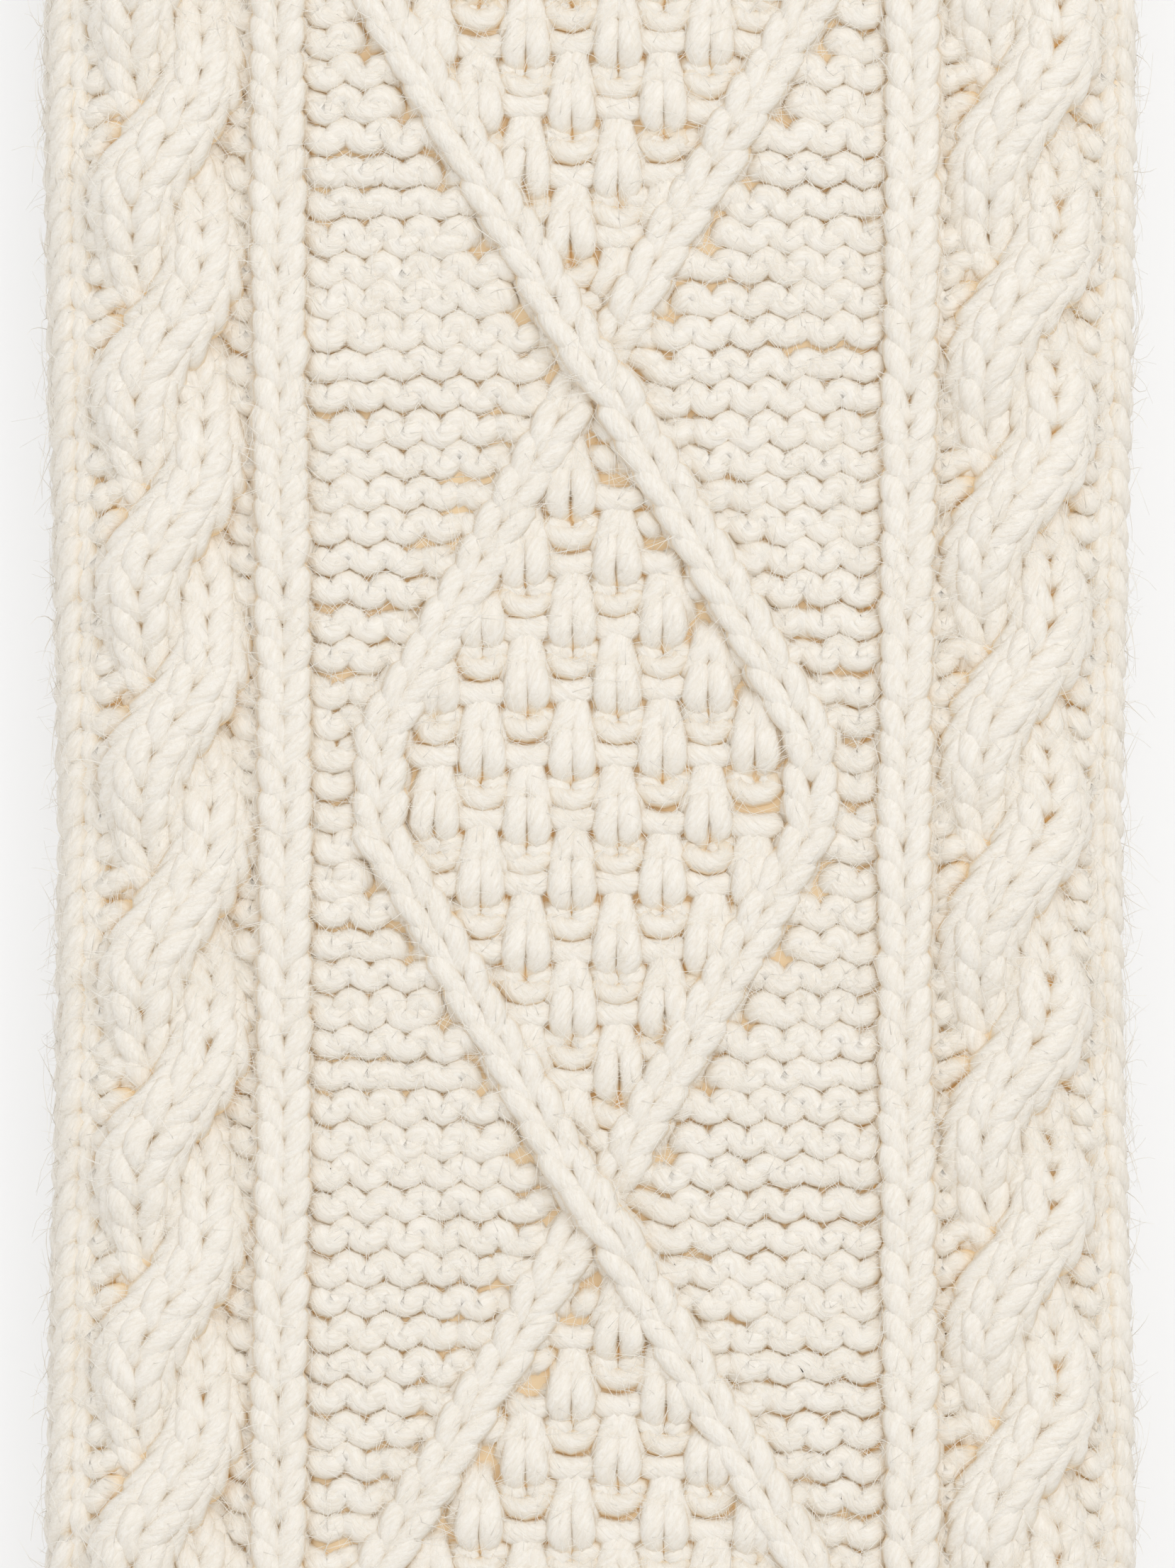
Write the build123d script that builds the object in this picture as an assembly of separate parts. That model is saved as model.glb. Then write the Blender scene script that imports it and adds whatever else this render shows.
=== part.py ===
from build123d import *
from math import cos, pi, radians, sin
import os

# A pair of long fingerless gloves in a thick cabled knit, lying flat and side by side, backs up.
# Origin: bottom centre of the pair. +Y runs from the arm end to the finger end, +Z is up.
# Each is knitted from the fingers to the arm, so it is cast on at the finger end.

# Driving dimensions, millimetres
LENGTH = 296.0  # cast-on edge to bind-off edge
HAND_WIDTH = 100.0  # flat width over the folds
CUFF_WIDTH = 94.0  # flat width of the ribbed ends
THICKNESS = 18.0  # one glove lying relaxed, both walls and the hollow
WALL = 4.5  # knitted wall
WRIST_RIB = 44.0  # length of the ribbed cuff
KNUCKLE_RIB = 26.0  # length of the ribbed band at the fingers
EDGE = 3.0  # length of a cast-on or bind-off chain
GLOVE_GAP = 64.0  # between the two gloves, fold to fold

THUMB_Y = 226.0  # where the thumb's axis leaves the fold
THUMB_LEAN = 38.0  # degrees from the glove's length towards the side
THUMB_WIDTH = 34.0  # outer width of the thumb tube
THUMB_DEPTH = 14.0  # outer height of the thumb tube
THUMB_WALL = 3.6
THUMB_REACH = 26.0  # how far the tube's axis runs beyond the fold
THUMB_SETBACK = 14.0  # how far inside the fold the tube's axis starts

CABLE_WIDTH = 13.6
CABLE_HEIGHT = 1.6
CABLE_OFFSET = 39.0  # cable centre from the glove's centre line
ROPE_WIDTH = 5.4
ROPE_HEIGHT = 1.2
ROPE_OFFSET = 29.3
DIAMOND_HALF_WIDTH = 22.0  # the lattice swings this far each side of the centre line
DIAMOND_LENGTH = 76.8
LATTICE_WIDTH = 5.0
LATTICE_HEIGHT = 1.2
RIB_PITCH = 11.0  # one knit ridge and one purl valley
RIB_WIDTH = 6.0
RIB_HEIGHT = 0.9
RIB_ROUNDING = 0.8  # radius of a rib ridge's top corners
RIDGE_ROUNDING = 0.6  # of a cable's or rope's height, rounded off at its top corners
SEAM_RADIUS = 1.3
SEAM_SINK = 0.8  # how far the seam yarn presses into the fold

# Worked out
PANEL_START = WRIST_RIB
PANEL_END = LENGTH - KNUCKLE_RIB
PANEL_LENGTH = PANEL_END - PANEL_START
GLOVE_X = (GLOVE_GAP + HAND_WIDTH) / 2
BODY_HEIGHT = THICKNESS - CABLE_HEIGHT  # the plain wall's height, under the relief
BODY_MID = BODY_HEIGHT / 2
HOLLOW_HEIGHT = BODY_HEIGHT - 2 * WALL


def flat_tube(width, height, start, length):
    """A solid bar with a flat-oval section, from y = start, lying on z = 0."""
    section = Plane.XZ * Pos(0, BODY_MID) * SlotOverall(width, height)
    return Pos(0, start, 0) * extrude(section, -length)


def tube_ring(width, start, length):
    """A knitted tube lying flat: outer flat oval less its hollow."""
    outer = flat_tube(width, BODY_HEIGHT, start, length)
    return outer - flat_tube(width - 2 * WALL, HOLLOW_HEIGHT, start, length)


def half(shape, upper):
    """The part of a shape above or below the fold line."""
    block_mid = BODY_MID + (THICKNESS if upper else -THICKNESS)
    block = Pos(0, LENGTH / 2, block_mid) * Box(2 * HAND_WIDTH, 2 * LENGTH, 2 * THICKNESS)
    return shape & block


def ridge(x, width, height):
    """A raised knit column along the back panel."""
    bar = Pos(x, PANEL_START + PANEL_LENGTH / 2, BODY_HEIGHT) * Box(width, PANEL_LENGTH, 2 * height)
    corners = bar.edges().filter_by(Axis.Y).group_by(Axis.Z)[-1]
    return fillet(corners, height * RIDGE_ROUNDING)


def lattice_strand(side):
    """One zigzag strand of the diamond lattice, crossing the other on the centre line."""
    half_run = DIAMOND_LENGTH / 2
    count = int(PANEL_LENGTH // half_run)
    start = PANEL_START + (PANEL_LENGTH - count * half_run) / 2
    points = [
        (side * DIAMOND_HALF_WIDTH * (1 if i % 2 else -1), start + i * half_run)
        for i in range(count + 1)
    ]
    strand = Plane.XY * zigzag_strip(points, LATTICE_WIDTH)
    return Pos(0, 0, BODY_HEIGHT - LATTICE_HEIGHT) * extrude(strand, 2 * LATTICE_HEIGHT)


def zigzag_strip(points, width):
    """A flat strip of the given width that follows a zigzag, with round corners."""
    runs = [SlotCenterToCenter(distance(a, b), width) for a, b in zip(points, points[1:])]
    strip = None
    for run, a, b in zip(runs, points, points[1:]):
        angle = Vector(b[0] - a[0], b[1] - a[1]).get_signed_angle(Vector(1, 0), Vector(0, 0, -1))
        placed = Pos((a[0] + b[0]) / 2, (a[1] + b[1]) / 2) * Rot(0, 0, angle) * run
        strip = placed if strip is None else strip + placed
    return strip


def distance(a, b):
    return ((a[0] - b[0]) ** 2 + (a[1] - b[1]) ** 2) ** 0.5


def rib_ridges(width, start, length):
    """Knit ridges round a ribbed tube, evenly spaced along its flat-oval outline."""
    radius = BODY_HEIGHT / 2
    flat = width - BODY_HEIGHT
    outline = 2 * flat + 2 * pi * radius
    count = round(outline / RIB_PITCH)
    ridges = []
    for i in range(count):
        x, z, lean = outline_point((i + 0.5) * outline / count, flat, radius)
        if z < BODY_MID - RIB_HEIGHT:
            continue  # the underside lies flat on its surface
        bar = Box(RIB_WIDTH, length, 2 * RIB_HEIGHT)
        top = fillet(bar.edges().filter_by(Axis.Y), RIB_ROUNDING)
        ridges.append(Pos(x, start + length / 2, z) * Rot(0, lean, 0) * top)
    return ridges


def outline_point(run, flat, radius):
    """x, z and outward lean (degrees) at a distance round a flat oval, from the top's left end."""
    arc = pi * radius
    if run < flat:
        return run - flat / 2, 2 * radius, 0.0
    run -= flat
    if run < arc:
        turn = run / radius
        return flat / 2 + radius * sin(turn), radius + radius * cos(turn), turn * 180 / pi
    run -= arc
    if run < flat:
        return flat / 2 - run, 0.0, 180.0
    turn = pi + (run - flat) / radius
    return -flat / 2 + radius * sin(turn), radius + radius * cos(turn), turn * 180 / pi


def thumb_bar(width, depth, start, end):
    """A slanted flat-oval bar along the thumb's axis, measured from the fold's inside point."""
    lean = radians(THUMB_LEAN)
    base = Vector(HAND_WIDTH / 2 - THUMB_SETBACK, THUMB_Y - THUMB_SETBACK, BODY_MID)
    axis = Vector(sin(lean), cos(lean), 0)
    across = Vector(cos(lean), -sin(lean), 0)
    plane = Plane(origin=base + axis * start, x_dir=across, z_dir=axis)
    return extrude(plane * Ellipse(width / 2, depth / 2), end - start)


def thumb_pieces(glove_outer):
    """The thumb tube, its bind-off edge and the hole it needs through the fold."""
    end = THUMB_SETBACK / cos(radians(THUMB_LEAN)) + THUMB_REACH
    bore = (THUMB_WIDTH - 2 * THUMB_WALL, THUMB_DEPTH - 2 * THUMB_WALL)
    hole = thumb_bar(*bore, 0, end + EDGE)
    tube = thumb_bar(THUMB_WIDTH, THUMB_DEPTH, 0, end) - glove_outer - hole
    edge = thumb_bar(THUMB_WIDTH, THUMB_DEPTH, end, end + EDGE) - glove_outer - hole
    return largest(tube), edge, hole


def largest(shape):
    """The biggest solid of a shape, which drops slivers that a cut leaves inside the fold."""
    return max(shape.solids(), key=lambda solid: solid.volume)


def back_relief():
    """The raised cables, ropes and lattice of the back panel."""
    parts = []
    for side in (-1, 1):
        parts.append(ridge(side * CABLE_OFFSET, CABLE_WIDTH, CABLE_HEIGHT))
        parts.append(ridge(side * ROPE_OFFSET, ROPE_WIDTH, ROPE_HEIGHT))
        parts.append(lattice_strand(side))
    return parts


def rib_tube(start, length):
    """A ribbed tube with its raised knit ridges, without reaching into the hollow."""
    tube = tube_ring(CUFF_WIDTH, start, length)
    hollow = flat_tube(CUFF_WIDTH - 2 * WALL, HOLLOW_HEIGHT, start, length)
    for bar in rib_ridges(CUFF_WIDTH, start, length):
        tube = tube + bar
    return tube - hollow


def seam_cord():
    """The linking yarn inside the little-finger fold."""
    x = -(HAND_WIDTH / 2 - WALL - SEAM_RADIUS + SEAM_SINK)
    cord = Cylinder(SEAM_RADIUS, PANEL_LENGTH, rotation=(90, 0, 0))
    return Pos(x, PANEL_START + PANEL_LENGTH / 2, BODY_MID) * cord


def glove_pieces():
    """One glove, thumb towards +X, centred on x = 0, as a dict of piece name to solid."""
    outer = flat_tube(HAND_WIDTH, BODY_HEIGHT, PANEL_START, PANEL_LENGTH)
    shell = tube_ring(HAND_WIDTH, PANEL_START, PANEL_LENGTH)
    thumb, thumb_edge, hole = thumb_pieces(outer)
    seam = seam_cord()
    back = half(shell, True)
    for part in back_relief():
        back = back + part
    return {
        "back_panel": largest(back - hole - seam),
        "palm_panel": largest(half(shell, False) - hole - seam),
        "wrist_rib": rib_tube(EDGE, WRIST_RIB - EDGE),
        "knuckle_rib": rib_tube(PANEL_END, KNUCKLE_RIB - EDGE),
        "thumb_rib": thumb,
        "bind_off_edge": tube_ring(CUFF_WIDTH, 0, EDGE),
        "cast_on_edge": tube_ring(CUFF_WIDTH, LENGTH - EDGE, EDGE),
        "thumb_edge": thumb_edge,
        "side_seam": seam,
    }


os.makedirs("parts", exist_ok=True)
for piece, solid in glove_pieces().items():
    centred = Pos(0, -LENGTH / 2, 0) * solid
    left = Pos(-GLOVE_X, 0, 0) * centred
    right = Pos(GLOVE_X, 0, 0) * mirror(centred, about=Plane.YZ)
    export_step(left, f"parts/left_{piece}.step")
    export_step(right, f"parts/right_{piece}.step")
    print(piece, round(solid.volume), "mm3")
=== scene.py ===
from math import cos, pi, radians, sin

import bpy
import numpy as np
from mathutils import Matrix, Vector

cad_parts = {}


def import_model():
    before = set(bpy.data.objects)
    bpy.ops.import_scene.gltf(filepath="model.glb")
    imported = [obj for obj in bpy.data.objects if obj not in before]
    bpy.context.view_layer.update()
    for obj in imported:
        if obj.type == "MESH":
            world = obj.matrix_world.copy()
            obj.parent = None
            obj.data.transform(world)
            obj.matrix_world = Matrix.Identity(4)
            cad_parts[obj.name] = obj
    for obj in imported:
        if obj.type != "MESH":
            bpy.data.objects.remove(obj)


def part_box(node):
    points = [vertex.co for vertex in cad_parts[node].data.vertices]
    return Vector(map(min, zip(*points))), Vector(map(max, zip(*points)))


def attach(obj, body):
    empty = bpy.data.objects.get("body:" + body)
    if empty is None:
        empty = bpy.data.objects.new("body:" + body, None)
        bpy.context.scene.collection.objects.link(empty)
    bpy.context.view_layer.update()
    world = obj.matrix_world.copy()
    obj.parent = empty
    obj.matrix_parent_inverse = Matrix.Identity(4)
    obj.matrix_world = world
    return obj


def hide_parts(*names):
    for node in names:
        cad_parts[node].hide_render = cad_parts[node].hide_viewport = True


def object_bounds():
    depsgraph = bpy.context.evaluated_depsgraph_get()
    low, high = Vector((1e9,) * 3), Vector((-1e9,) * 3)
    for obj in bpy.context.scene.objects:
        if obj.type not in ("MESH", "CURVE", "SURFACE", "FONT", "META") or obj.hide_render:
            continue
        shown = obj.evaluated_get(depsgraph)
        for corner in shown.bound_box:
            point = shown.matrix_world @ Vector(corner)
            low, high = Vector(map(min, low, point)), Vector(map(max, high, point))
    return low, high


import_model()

CAD_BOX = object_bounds()
MM = 0.001

# ------------------------------------------------------------------ sizes, from the frame

LOW, HIGH = [np.array(corner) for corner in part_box("left_palm_panel")]
LEFT_X = (LOW[0] + HIGH[0]) / 2  # the left glove's centre line
HAND_WIDTH = HIGH[0] - LOW[0]
PANEL_START, PANEL_END = LOW[1], HIGH[1]
FOLD_HEIGHT = 2 * HIGH[2]  # both walls and the hollow, without the relief
CUFF_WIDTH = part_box("left_cast_on_edge")[1][0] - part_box("left_cast_on_edge")[0][0]
GLOVE_START = CAD_BOX[0].y
GLOVE_END = CAD_BOX[1].y

# ------------------------------------------------------------------ the knitting

COURSE = 2.96 * MM  # one row of loops
YARN = 1.16 * MM  # yarn radius
DEPTH = 1.0 * MM  # how far a loop's legs stand in front of the wall's middle, and its head behind
MID_RADIUS = FOLD_HEIGHT / 2 - DEPTH - YARN  # of the fold, at the middle of the wall
MID_FLAT = (HAND_WIDTH - FOLD_HEIGHT) / 2  # half the flat part's width
AROUND = 4 * MID_FLAT + 2 * pi * MID_RADIUS  # once round the hand

YARN_HEIGHT = 0.94  # of a yarn's width: the knitting presses it a little flat
TWIST = 9 * MM  # of yarn in one turn of its fibres
FAT_MIDDLE, FAT_FRONT = 0.93, 0.12  # a yarn's thickness, and what it gains where it stands forward
EDGE_SHARE = 0.3  # of a stitch's half width, over which its lift turns into its edge's
POINT_JITTER = (0.06 * MM, 0.018, 0.05 * MM, 0.03, 0)  # round the glove, courses, height, thickness, forward
STITCH_JITTER = (0.06 * MM, 0.02)  # of a whole stitch: round the glove, courses
WAVE_HEIGHT = 0.25 * MM  # of the courses' slow waves
COURSE_WAVE, LEVEL_WAVE = 60 * MM, 45 * MM  # the lengths of those that shift it along and lift it
WAVE_RATES = (0.6, 1.7)  # of the sines that make up a wave
SHORTEST = 3  # points: a stretch of yarn this short, beside an opening, isn't drawn

FELT_BACK = -0.9 * MM  # the felted fibres behind the loops, from the wall's middle
FELT_GROUND = 0.7 * MM  # and between the purl rows of the back, where they lie nearer the face
LINING_THICK = 0.4 * MM
LINING_ROWS, LINING_COLUMNS = 90, 120

FUZZ_LENGTH = 5.0 * MM
FUZZ_LENGTHS = (0.4, 1.2)  # the shortest and longest fibre, in FUZZ_LENGTH
FUZZ_RADIUS = 0.045 * MM
FUZZ_RINGS = 4
FUZZ_DEPTH = 0.7  # fibres grow from the yarn's outer parts, above this depth
FUZZ_BEND = 0.4  # how much a fibre curves sideways
FUZZ_RISE = (0.05, 0.30)  # and how far it stands off, for its length
FUZZ_CURL = 1.6  # it rises at first and bows down again towards its tip
FUZZ_TAPER = 0.7
FUZZ_FLOOR = 0.3 * MM  # no fibre goes below this height over the table

THUMB_LEAN = radians(38)
THUMB_HALF_WIDTH = 17 * MM
THUMB_WALL = 3.6 * MM
THUMB_LENGTH = 46.8 * MM  # along its axis, from the root inside the fold to the end of its edge
THUMB_AXIS = np.array((sin(THUMB_LEAN), cos(THUMB_LEAN), 0))
THUMB_ACROSS = np.array((cos(THUMB_LEAN), -sin(THUMB_LEAN), 0))
EDGE_LOW, EDGE_HIGH = [np.array(corner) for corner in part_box("left_thumb_edge")]
THUMB_HALF_DEPTH = (EDGE_HIGH[2] - EDGE_LOW[2]) / 2
EDGE_LENGTH = 3.0 * MM
THUMB_ROOT = (EDGE_LOW + EDGE_HIGH) / 2 - (LEFT_X, 0, 0) - THUMB_AXIS * (THUMB_LENGTH - EDGE_LENGTH / 2)
THUMB_MID_WIDE = THUMB_HALF_WIDTH - DEPTH - YARN  # the ellipse through the middle of the thumb's wall
THUMB_MID_HIGH = THUMB_HALF_DEPTH - DEPTH - YARN
THUMB_TURNS = np.linspace(0, 2 * pi, 241)  # angles round its wall, close enough to measure it by
THUMB_FIRST = 2  # the first course from its root that is drawn


def thumb_runs():
    """The distance round the middle of the thumb's wall, at each of THUMB_TURNS."""
    step_x = THUMB_MID_WIDE * np.diff(np.cos(THUMB_TURNS))
    step_z = THUMB_MID_HIGH * np.diff(np.sin(THUMB_TURNS))
    return np.concatenate(([0], np.cumsum(np.hypot(step_x, step_z))))


THUMB_RUNS = thumb_runs()
THUMB_AROUND = THUMB_RUNS[-1]

COURSES = 100
RIB_COURSES = 15  # the wrist rib
PANEL_COURSES = 91  # the panels end here and the knuckle rib begins

GROUND = 3.48 * MM  # pitch of a purl stitch
STRAND = 2.75 * MM  # pitch of a travelling knit stitch
GROUND_SIDE = 6  # purl stitches each side of a lattice crossing
MOSS = 4.25 * MM  # pitch of a moss stitch
UNDER_STRAND = 1.5 * MM  # the ground reaches this close to the middle of a lattice strand
DIAMOND = 26  # courses from one lattice crossing to the next
CROSSING = 2  # a course where the lattice crosses
TRAVEL = 2  # courses in which a lattice strand moves over by one purl stitch
PARTING = 1.4  # courses from a crossing to where its strands lie side by side
OVERLAP = 2.4  # courses from a crossing in which one strand rides over the other
LATTICE_RISE = 1.15 * MM
LATTICE_OVER, LATTICE_UNDER = 1.0 * MM, 1.2 * MM  # what the strands gain and lose where they cross
LATTICE_FAT = 0.94
MOSS_INSET = 0.75 * STRAND  # the moss has room up to this far inside a lattice strand's middle
MOSS_END = 0.62 * MOSS  # the widest half of a moss stitch beside a strand
PLUMP_RISE, MOSS_RISE = 0.7 * MM, 0.1 * MM

CABLE = 6  # courses from one cable crossing to the next
CABLE_CROSSING = 0.76  # of those courses, the share in which the strands change sides
CABLE_PITCH = 0.275  # from a strand's one column to its other, in cable widths
CABLE_SWING = 0.235  # a strand's middle from the cable's, in cable widths
CABLE_OUTER = 0.85  # a column's outer half, in inner halves
CABLE_BLUNT = 0.7  # under 1, a strand rises fast and stays up over most of its crossing
CABLE_RISE = 0.4 * MM
CABLE_OVER, CABLE_UNDER = 1.3 * MM, 1.7 * MM
CABLE_ROLL, CABLE_DOME = 0.8 * MM, 0.2 * MM  # a strand's sides lie below its columns, its middle above

PAIR_INSET = 0.75 * YARN  # a ridge's outer legs from the sides of its band
PAIR_REACH = 1.12  # a column's inner half, for its distance from the ridge's middle: it passes it
PAIR_OUTER = 0.1 * MM  # its outer halves stand nearly on edge
PURL_FAT = 1.03
PURL_THIN, PURL_GAIN = 0.62, 0.38  # a narrow purl stitch is thinner, a full one isn't
VALLEY_SPREAD = 1.0 * MM  # how far a sunk purl column reaches under each ridge beside it
VALLEY_DROP, VALLEY_FAT = 0.9 * MM, 1.05
ROPE_RISE = 0.9 * MM
FOLD_ROPE_RISE, FOLD_ROPE_FAT, FOLD_ROPE_ROLL = 0.5 * MM, 1.04, 1.3 * MM
PALM_STITCH = 3.6 * MM
RIB_KNIT, RIB_PURL = 0.54, 0.46  # of one repeat
RIB_RISE, RIB_DROP = 0.5 * MM, 0.7 * MM

# The gloves are knitted from the fingers to the arm, so every loop hangs down.


def whole(half, across=1):
    """A whole loop's values from half a loop's, there and back."""
    return np.concatenate((half, across * np.array(half)[-2:0:-1]))


def loop(half, forward):
    """A loop's shape: across in stitch widths, up in courses, and forward in loop depths.

    half has the points from the sinker between two stitches down to the loop's head."""
    across, up = np.array(half).T
    return whole(across, -1), whole(up), whole(forward)


HALF_LOOP = (
    (-0.50, 1.17),
    (-0.26, 0.98),
    (-0.08, 0.50),
    (-0.21, -0.22),
    (-0.40, -0.74),
    (-0.26, -1.02),
    (0.00, -1.17),
)
PLUMP_HALF = (  # two plump legs side by side, and the head hanging low below them
    (-0.50, 1.17),
    (-0.34, 0.98),
    (-0.20, 0.50),
    (-0.27, -0.20),
    (-0.22, -0.76),
    (-0.38, -1.16),
    (0.00, -1.44),
)
FLAT_HALF = HALF_LOOP[:4] + (  # the head lies straight across
    (-0.43, -0.74),
    (-0.40, -1.10),
    (0.00, -1.20),
)
PURL_HALF = ((-0.50, 1.23), (-0.26, 1.01)) + HALF_LOOP[2:5] + ((-0.26, -1.05), (0.00, -1.23))
KNIT = loop(HALF_LOOP, (-1.00, -0.60, 0.95, 1.10, 0.45, -0.70, -1.00))
PURL = loop(PURL_HALF, (1.05, 0.95, -1.20, -1.30, -0.90, 0.95, 1.05))
PLUMP_KNIT = loop(PLUMP_HALF, (-1.00, -0.60, 0.95, 1.15, 0.00, 0.40, 0.60))
FLAT_PURL = loop(FLAT_HALF, (1.05, 0.95, -1.20, -1.30, -0.90, 0.95, 1.05))
LAST_PURL = loop(HALF_LOOP, (1.05, 0.95, -1.20, -1.30, -1.20, -1.00, -1.00))
MOSS_LOOPS = (PLUMP_KNIT, KNIT, LAST_PURL, FLAT_PURL)  # a moss column's courses, from below
UP = KNIT[1]
FALLING = slice(0, len(HALF_LOOP))  # the points of UP that keep falling


def smoothstep(t):
    t = np.clip(t, 0, 1)
    return t * t * (3 - 2 * t)


def at_course(values):
    """What a loop's values are where it passes its own course's middle."""
    return np.interp(0, -UP[FALLING], values[FALLING])


class Stitch:
    """One loop: where its column runs, how wide it is on each side, its shape, height and thickness.

    centre and lift are arrays over the loop's points, so that a column may lean or rise."""

    def __init__(self, centre, left, right, shape, lift=0.0, edge_left=None, edge_right=None, fat=1.0):
        self.across, self.up, self.forward = shape
        self.centre = centre + np.zeros(len(UP))
        self.left = left + np.zeros(len(UP))
        self.right = right + np.zeros(len(UP))
        self.lift = lift + np.zeros(len(UP))
        self.edge_left = self.lift if edge_left is None else edge_left + np.zeros(len(UP))
        self.edge_right = self.lift if edge_right is None else edge_right + np.zeros(len(UP))
        self.fat = fat

    def points(self):
        """The loop's points: distance round the glove, course, height, thickness and forward."""
        half = np.where(self.across < 0, self.left, self.right)
        edge = np.where(self.across < 0, self.edge_left, self.edge_right)
        share = smoothstep(np.abs(2 * self.across) / EDGE_SHARE)
        lift = self.lift + (edge - self.lift) * share
        return self.rows(self.centre + 2 * self.across * half, self.up, lift, self.forward)

    def last_sinker(self):
        """The point where this loop hands over to the next one on its right."""
        return self.rows(self.centre[0] + self.right[0], self.up[0], self.edge_right[0], self.forward[0])

    def rows(self, around, up, lift, forward):
        fat = self.fat * (FAT_MIDDLE + FAT_FRONT * forward)
        return np.stack((around, up, lift + DEPTH * forward, fat, forward), axis=-1)


# ------------------------------------------------------------------ the chart, band by band

def knit_pair(middle, width, rise, fat=0.98, roll=2.2 * MM):
    """Two knit columns that make one raised ridge: their inner legs show as chevrons.

    roll is how far the ridge's outer edges lie below its top."""
    reach = width / 2 - PAIR_INSET
    low = rise - roll
    inner = PAIR_REACH * reach
    return [
        Stitch(middle - reach, PAIR_OUTER, inner, KNIT, rise, low, rise, fat),
        Stitch(middle + reach, inner, PAIR_OUTER, KNIT, rise, rise, low, fat),
    ]


def purl_band(middle, width, count, drop=0.0):
    """Plain purl columns, which lie drop below the middle of the wall."""
    half = width / count / 2
    fat = PURL_FAT * min(1.0, PURL_THIN + PURL_GAIN * half / (GROUND / 2))
    return [
        Stitch(middle - width / 2 + (2 * i + 1) * half, half, half, PURL, -drop, fat=fat)
        for i in range(count)
    ]


def valley(middle, width):
    """A purl column that has sunk between two ridges and spreads under both."""
    spread = width / 2 + VALLEY_SPREAD
    return [Stitch(middle, spread, spread, PURL, -VALLEY_DROP, fat=VALLEY_FAT)]


def cable_band(middle, width, course, first):
    """Knit columns in two strands that keep crossing, the one from the left always in front.

    A strand crosses in the middle of its turn, and spreads there as its slope grows."""
    pitch = width * CABLE_PITCH
    swing = width * CABLE_SWING
    strands = []
    for which in (0, 1):
        turn = ((course + UP - first) / CABLE + which) % 2
        in_front = turn < 1
        share = turn % 1
        across = np.clip((share - 0.5) / CABLE_CROSSING + 0.5, 0, 1)
        way = 2 * smoothstep(across) - 1  # from -1 to 1, and slope is its swing for the length it takes
        slope = 12 * across * (1 - across) * swing / (CABLE_CROSSING * CABLE * COURSE)
        side = np.where(in_front, way, -way)
        over = np.sin(pi * share) ** CABLE_BLUNT
        rise = CABLE_RISE + over * np.where(in_front, CABLE_OVER, -CABLE_UNDER)
        low, high = rise - CABLE_ROLL, rise + CABLE_DOME
        half = pitch / 2 * np.hypot(1, slope)
        outer = CABLE_OUTER * half
        centre = middle + side * swing
        strand = [
            Stitch(centre - half, outer, half, KNIT, rise, low, high),
            Stitch(centre + half, half, outer, KNIT, rise, high, low),
        ]
        strands.append((at_course(side), strand))
    strands.sort(key=lambda entry: entry[0])
    return strands[0][1] + strands[1][1]


def ground_beside(course):
    """Purl stitches between the panel's edge and the lattice strand on each side."""
    phase = (course - CROSSING) % DIAMOND
    away = min(phase, DIAMOND - phase)
    return GROUND_SIDE - int(np.clip((away - 1) // TRAVEL, 0, GROUND_SIDE - 1))


def strand_distance(phase):
    """How far a lattice strand's middle is from the panel's middle, by courses from a crossing."""
    away = np.minimum(phase, DIAMOND - phase)
    out = np.clip((away - 1.5) / TRAVEL, 0, GROUND_SIDE - 1)
    return STRAND * smoothstep(away / PARTING) + GROUND * out


def lattice_strand(middle, course, which):
    """Two travelling knit columns, and where they stand at this course."""
    level = course + UP
    phase = (level - CROSSING) % DIAMOND
    side = np.where((np.floor((level - CROSSING) / DIAMOND) + which) % 2 < 1, 1, -1)
    centre = middle + side * strand_distance(phase)
    away = np.minimum(phase, DIAMOND - phase)
    falling = np.where(phase < DIAMOND / 2, side < 0, side > 0)  # leans to the left going up
    near = smoothstep(1 - away / OVERLAP)
    rise = LATTICE_RISE + near * np.where(falling, LATTICE_OVER, -LATTICE_UNDER)
    return at_course(centre), knit_pair(centre, 2 * STRAND, rise, LATTICE_FAT)


def moss_stitch(middle, column, course):
    """Double moss stitch: knit and purl take turns across, and swap every second course."""
    shape = MOSS_LOOPS[(course + 2 * column) % 4]
    lift = PLUMP_RISE if shape is PLUMP_KNIT else MOSS_RISE
    centre = middle + (column + 0.5) * MOSS
    return Stitch(centre, MOSS / 2, MOSS / 2, shape, lift)


def lattice_band(middle, course):
    """Purl ground, a diamond of double moss stitch, and the lattice strands over their ends."""
    half_width = GROUND_SIDE * GROUND + 2 * STRAND
    strands = sorted((lattice_strand(middle, course, which) for which in (0, 1)), key=lambda s: s[0])
    reach = strands[1][0] - middle
    beside = ground_beside(course)
    left_ground = purl_band(middle - half_width + beside * GROUND / 2, beside * GROUND, beside)
    right_ground = purl_band(middle + half_width - beside * GROUND / 2, beside * GROUND, beside)
    inner_half = right_ground[0].centre[0] - middle - reach - UNDER_STRAND
    left_ground[-1].right[:] = inner_half
    right_ground[0].left[:] = inner_half
    inside = int(max(reach - MOSS_INSET, 0) / MOSS + 0.5)
    moss = [moss_stitch(middle, column, course) for column in range(-inside, inside)]
    if moss:
        outer_half = min(reach - UNDER_STRAND - (inside - 0.5) * MOSS, MOSS_END)
        moss[0].left[:] = outer_half
        moss[-1].right[:] = outer_half
    return left_ground + strands[0][1] + moss + strands[1][1] + right_ground


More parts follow.
